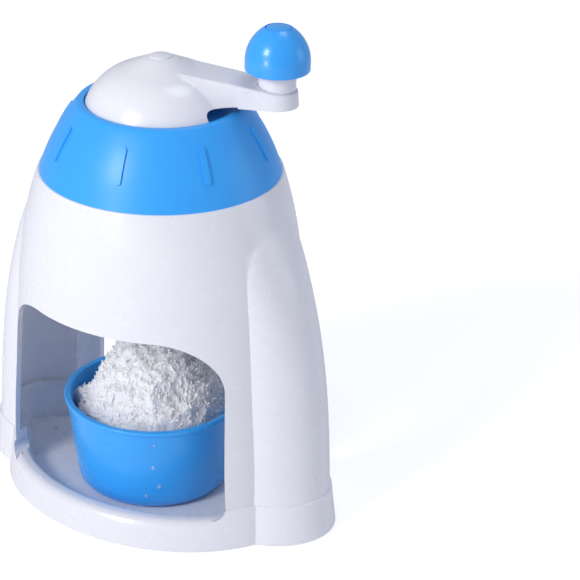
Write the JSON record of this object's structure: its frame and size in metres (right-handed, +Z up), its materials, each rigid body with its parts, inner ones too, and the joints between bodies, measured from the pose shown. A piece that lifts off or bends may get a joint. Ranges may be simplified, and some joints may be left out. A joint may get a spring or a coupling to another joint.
{
  "type": "ice shaver with crank",
  "caption": "Hand-cranked ice shaver: a lobed housing on a drip tray, a ribbed lid ring with a crank arm and knob, a sprung ice press over a fixed blade, and a bowl below.",
  "frame": {"origin": "on the surface that the rubber feet stand on, in the middle of the drip tray", "axes": "+Z up along the crank's axis, front opening towards -Y, side lobes along X"},
  "size_m": [0.2116, 0.143, 0.2664],
  "materials": {
    "white_plastic": "glossy moulded",
    "blue_plastic": "glossy moulded",
    "white_satin": "fine satin",
    "bearing_plastic": "smooth acetal",
    "blade_steel": "ground",
    "screw_steel": "plain",
    "spring_steel": "drawn wire",
    "foot_rubber": "matte"
  },
  "bodies": {
    "housing": {"base_tray": "white_plastic", "rubber_feet": "foot_rubber", "base_screws": "screw_steel", "housing_shell": "white_plastic", "ice_hopper": "white_satin", "hopper_screws": "screw_steel", "shaving_blade": "blade_steel", "blade_clamp": "bearing_plastic", "blade_screws": "screw_steel"},
    "lid": {"lid_ring": "blue_plastic", "shaft_bush": "bearing_plastic"},
    "crank": {"crank_cap": "white_plastic", "drive_shaft": "screw_steel", "spring_washer": "screw_steel", "stop_washer": "screw_steel", "stop_screw": "screw_steel", "cap_screw": "screw_steel", "screw_cover": "white_plastic", "knob_post": "bearing_plastic", "knob_pin": "screw_steel", "knob_nut": "screw_steel", "knob_washer": "screw_steel", "pusher_spring": "spring_steel"},
    "knob": {"crank_knob": "blue_plastic", "knob_plug": "blue_plastic"},
    "pusher": {"pusher_plate": "white_satin", "pusher_spikes": "screw_steel"},
    "bowl": {"serving_bowl": "blue_plastic"}
  },
  "joints": [
    {"name": "lid_lift", "type": "slide", "parent": "housing", "child": "lid", "axis": [0, 0, 1], "range_m": [0, 0.09]},
    {"name": "crank_turn", "type": "hinge", "parent": "lid", "child": "crank", "pos_m": [0, 0, 0.212], "axis": [0, 0, 1], "continuous": true},
    {"name": "knob_spin", "type": "hinge", "parent": "crank", "child": "knob", "pos_m": [0.05645, 0.01944, 0.25], "axis": [0, 0, 1], "continuous": true},
    {"name": "pusher_slide", "type": "slide", "parent": "crank", "child": "pusher", "axis": [0, 0, 1], "range_m": [0, 0.04], "stiffness_N_per_m": 250, "springref_m": -0.02, "deforming": ["pusher_spring"]},
    {"name": "bowl_out", "type": "slide", "parent": "housing", "child": "bowl", "axis": [0, -0.8908, 0.4543], "range_m": [0, 0.145]}
  ]
}
